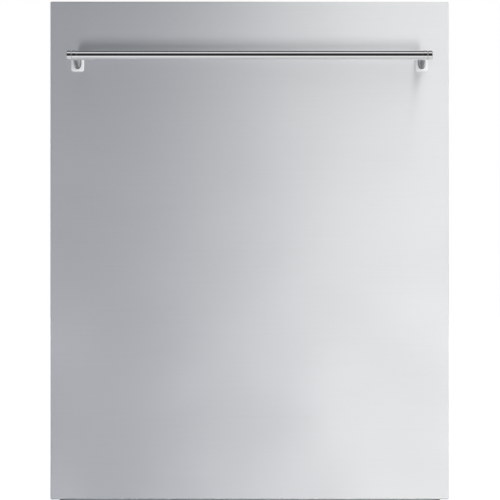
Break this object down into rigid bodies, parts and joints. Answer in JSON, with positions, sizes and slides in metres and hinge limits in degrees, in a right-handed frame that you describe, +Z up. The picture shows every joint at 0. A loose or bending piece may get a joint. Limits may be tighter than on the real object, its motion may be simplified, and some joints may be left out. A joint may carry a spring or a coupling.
{
  "type": "built in dishwasher",
  "caption": "Built-in dishwasher with a brushed steel front panel and bar handle, a drop-down door, sliding racks, spray arms, filter, dispenser and levelling feet.",
  "frame": {"origin": "on the floor, in the middle of the bounding box's footprint, with the door closed", "axes": "+Z up, -Y out of the appliance's front (the door and handle), +X to the right as seen from the front"},
  "size_m": [0.596, 0.624, 0.86],
  "materials": {
    "front_steel": "brushed horizontally",
    "handle_steel": "polished",
    "tub_steel": "satin",
    "galvanised": "zinc-coated, matte",
    "spring_steel": "oiled",
    "grey_plastic": "matte",
    "light_plastic": "matte",
    "dark_plastic": "satin",
    "blue_plastic": "satin",
    "rack_nylon": "nylon coating",
    "rack_wire": "nylon-coated steel wire",
    "gasket_rubber": "matte"
  },
  "bodies": {
    "cabinet": {"base_tray": "grey_plastic", "tub": "tub_steel", "tub_floor": "tub_steel", "left_side_panel": "galvanised", "right_side_panel": "galvanised", "top_panel": "galvanised", "rear_cover": "galvanised", "door_gasket": "gasket_rubber", "sump": "dark_plastic", "circulation_pump": "dark_plastic", "softener_tank": "light_plastic", "filter_plate": "tub_steel", "inlet_valve": "light_plastic", "drain_spigot": "grey_plastic", "cable_gland": "dark_plastic", "feed_pipe": "grey_plastic", "left_rack_rail": "tub_steel", "right_rack_rail": "tub_steel", "latch_strike": "galvanised", "left_door_spring": "spring_steel", "right_door_spring": "spring_steel"},
    "door": {"front_panel": "front_steel", "door_shell": "galvanised", "door_liner": "tub_steel", "control_panel": "dark_plastic", "handle_bar": "handle_steel", "left_handle_post": "handle_steel", "right_handle_post": "handle_steel", "left_bar_cap": "handle_steel", "right_bar_cap": "handle_steel", "left_hinge_arm": "galvanised", "right_hinge_arm": "galvanised", "detergent_dispenser": "light_plastic"},
    "dispenser_lid": {"dispenser_lid": "grey_plastic"},
    "rinse_aid_cap": {"rinse_aid_cap": "blue_plastic"},
    "power_button": {"power_button": "grey_plastic"},
    "program_button": {"program_button": "grey_plastic"},
    "start_button": {"start_button": "grey_plastic"},
    "door_latch": {"door_latch": "grey_plastic"},
    "upper_rack": {"upper_rack": "rack_wire", "upper_feed_tube": "grey_plastic", "left_rack_runner": "tub_steel", "right_rack_runner": "tub_steel"},
    "upper_spray_arm": {"upper_spray_arm": "grey_plastic"},
    "lower_rack": {"lower_rack": "rack_wire", "cutlery_basket": "grey_plastic", "left_wheel_carrier": "rack_nylon", "right_wheel_carrier": "rack_nylon"},
    "folding_tines": {"folding_tines": "rack_wire"},
    "lower_spray_arm": {"lower_spray_arm": "grey_plastic"},
    "salt_cap": {"salt_cap": "blue_plastic"},
    "filter_cup": {"filter_cup": "grey_plastic"},
    "front_left_wheel": {"front_left_wheel": "rack_nylon"},
    "front_left_foot": {"front_left_foot": "grey_plastic"},
    "front_right_wheel": {"front_right_wheel": "rack_nylon"},
    "front_right_foot": {"front_right_foot": "grey_plastic"},
    "rear_left_wheel": {"rear_left_wheel": "rack_nylon"},
    "rear_left_foot": {"rear_left_foot": "grey_plastic"},
    "rear_right_wheel": {"rear_right_wheel": "rack_nylon"},
    "rear_right_foot": {"rear_right_foot": "grey_plastic"}
  },
  "joints": [
    {"name": "door_hinge", "type": "hinge", "parent": "cabinet", "child": "door", "pos_m": [0, -0.225, 0.151], "axis": [1, 0, 0], "range_deg": [0, 90], "stiffness_Nm_per_rad": 28, "springref_deg": -11.46, "deforming": ["left_door_spring", "right_door_spring"]},
    {"name": "upper_rack_slide", "type": "slide", "parent": "cabinet", "child": "upper_rack", "axis": [0, -1, 0], "range_m": [0, 0.378]},
    {"name": "lower_rack_slide", "type": "slide", "parent": "cabinet", "child": "lower_rack", "axis": [0, -1, 0], "range_m": [0, 0.197]},
    {"name": "upper_arm_spin", "type": "hinge", "parent": "upper_rack", "child": "upper_spray_arm", "pos_m": [0, 0.065, 0.468], "axis": [0, 0, 1], "continuous": true},
    {"name": "lower_arm_spin", "type": "hinge", "parent": "cabinet", "child": "lower_spray_arm", "pos_m": [0, 0.065, 0.228], "axis": [0, 0, 1], "continuous": true},
    {"name": "tines_fold", "type": "hinge", "parent": "lower_rack", "child": "folding_tines", "pos_m": [-0.065, 0.125, 0.2499], "axis": [1, 0, 0], "range_deg": [0, 90]},
    {"name": "dispenser_lid_slide", "type": "slide", "parent": "door", "child": "dispenser_lid", "axis": [1, 0, 0], "range_m": [0, 0.062]},
    {"name": "rinse_aid_cap_turn", "type": "hinge", "parent": "door", "child": "rinse_aid_cap", "pos_m": [0.07, -0.181, 0.541], "axis": [0, 1, 0], "range_deg": [0, 90]},
    {"name": "door_latch_press", "type": "slide", "parent": "door", "child": "door_latch", "axis": [0, 0, -1], "range_m": [0, 0.003], "stiffness_N_per_m": 1500},
    {"name": "salt_cap_turn", "type": "hinge", "parent": "cabinet", "child": "salt_cap", "pos_m": [-0.165, -0.075, 0.21], "axis": [0, 0, 1], "range_deg": [0, 360]},
    {"name": "filter_cup_turn", "type": "hinge", "parent": "cabinet", "child": "filter_cup", "pos_m": [0, -0.03, 0.2], "axis": [0, 0, 1], "range_deg": [0, 90]},
    {"name": "power_button_press", "type": "slide", "parent": "door", "child": "power_button", "axis": [0, 0, -1], "range_m": [0, 0.0015], "stiffness_N_per_m": 500},
    {"name": "program_button_press", "type": "slide", "parent": "door", "child": "program_button", "axis": [0, 0, -1], "range_m": [0, 0.0015], "stiffness_N_per_m": 500},
    {"name": "start_button_press", "type": "slide", "parent": "door", "child": "start_button", "axis": [0, 0, -1], "range_m": [0, 0.0015], "stiffness_N_per_m": 500},
    {"name": "front_left_wheel_spin", "type": "hinge", "parent": "lower_rack", "child": "front_left_wheel", "pos_m": [-0.256, -0.0636, 0.2203], "axis": [1, 0, 0], "range_deg": [0, 752]},
    {"name": "front_left_foot_screw", "type": "slide", "parent": "cabinet", "child": "front_left_foot", "axis": [0, 0, 1], "range_m": [0, 0.04]},
    {"name": "front_right_wheel_spin", "type": "hinge", "parent": "lower_rack", "child": "front_right_wheel", "pos_m": [0.256, -0.0636, 0.2203], "axis": [1, 0, 0], "range_deg": [0, 752]},
    {"name": "front_right_foot_screw", "type": "slide", "parent": "cabinet", "child": "front_right_foot", "axis": [0, 0, 1], "range_m": [0, 0.04]},
    {"name": "rear_left_wheel_spin", "type": "hinge", "parent": "lower_rack", "child": "rear_left_wheel", "pos_m": [-0.256, 0.1806, 0.2203], "axis": [1, 0, 0], "range_deg": [0, 752]},
    {"name": "rear_left_foot_screw", "type": "slide", "parent": "cabinet", "child": "rear_left_foot", "axis": [0, 0, 1], "range_m": [0, 0.04]},
    {"name": "rear_right_wheel_spin", "type": "hinge", "parent": "lower_rack", "child": "rear_right_wheel", "pos_m": [0.256, 0.1806, 0.2203], "axis": [1, 0, 0], "range_deg": [0, 752]},
    {"name": "rear_right_foot_screw", "type": "slide", "parent": "cabinet", "child": "rear_right_foot", "axis": [0, 0, 1], "range_m": [0, 0.04]}
  ],
  "couplings": [
    {"joint": "upper_rack_slide", "follows": "door_hinge", "m_per_rad": 0.24},
    {"joint": "lower_rack_slide", "follows": "door_hinge", "m_per_rad": 0.125},
    {"joint": "front_left_wheel_spin", "follows": "door_hinge", "ratio": 8.3333},
    {"joint": "front_right_wheel_spin", "follows": "door_hinge", "ratio": 8.3333},
    {"joint": "rear_left_wheel_spin", "follows": "door_hinge", "ratio": 8.3333},
    {"joint": "rear_right_wheel_spin", "follows": "door_hinge", "ratio": 8.3333}
  ]
}
